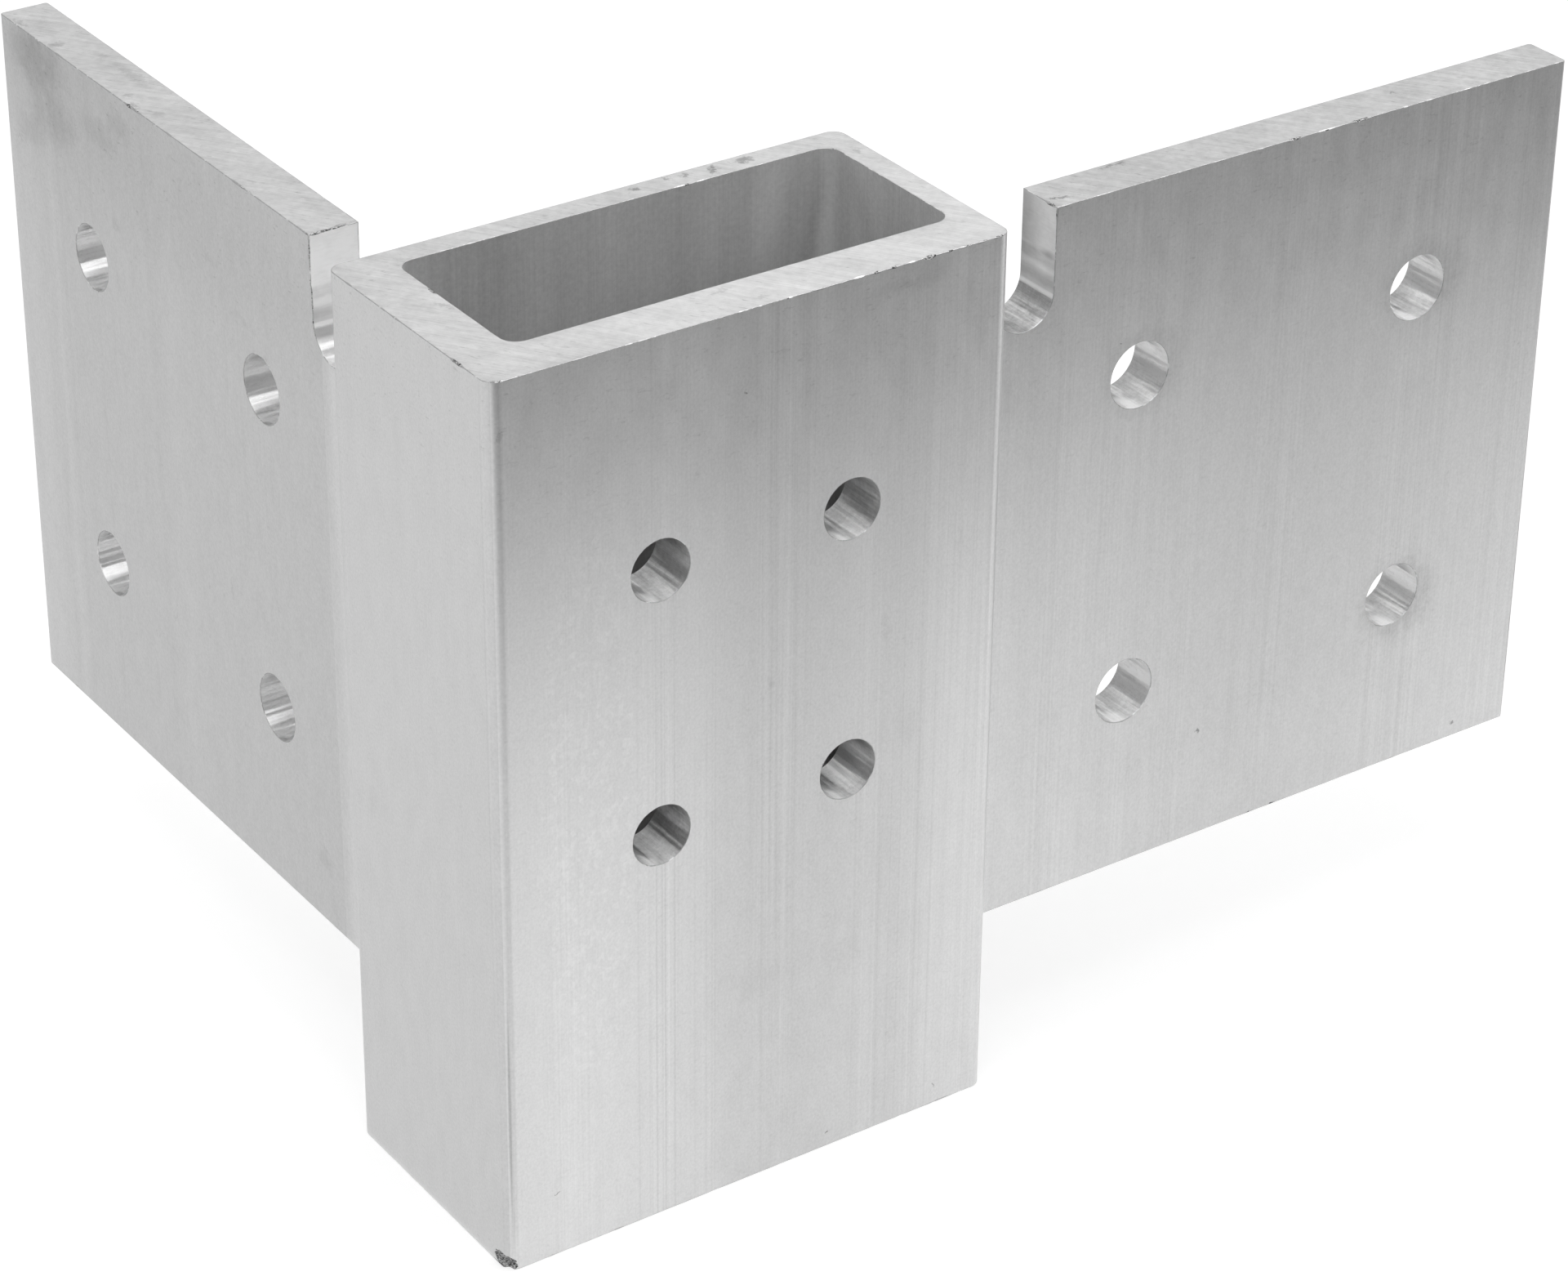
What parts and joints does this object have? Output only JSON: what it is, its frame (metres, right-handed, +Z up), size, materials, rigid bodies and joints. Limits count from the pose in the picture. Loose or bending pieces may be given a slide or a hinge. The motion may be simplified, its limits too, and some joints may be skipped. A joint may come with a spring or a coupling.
{
  "type": "aluminium corner connector",
  "caption": "Extruded aluminium corner connector: an upright rectangular socket with two drilled flat wings at a right angle.",
  "frame": {"origin": "in the middle of the socket's opening, level with its foot, where the connector stands", "axes": "+Z up along the socket; +X along the socket's long side and out along the right wing; +Y to the back and out along the left wing; the bolted front wall faces -Y"},
  "size_m": [0.18, 0.14, 0.135],
  "materials": {
    "aluminium": "mill-finish extruded, sawn ends"
  },
  "bodies": {
    "root": {"corner_connector": "aluminium"}
  },
  "joints": []
}
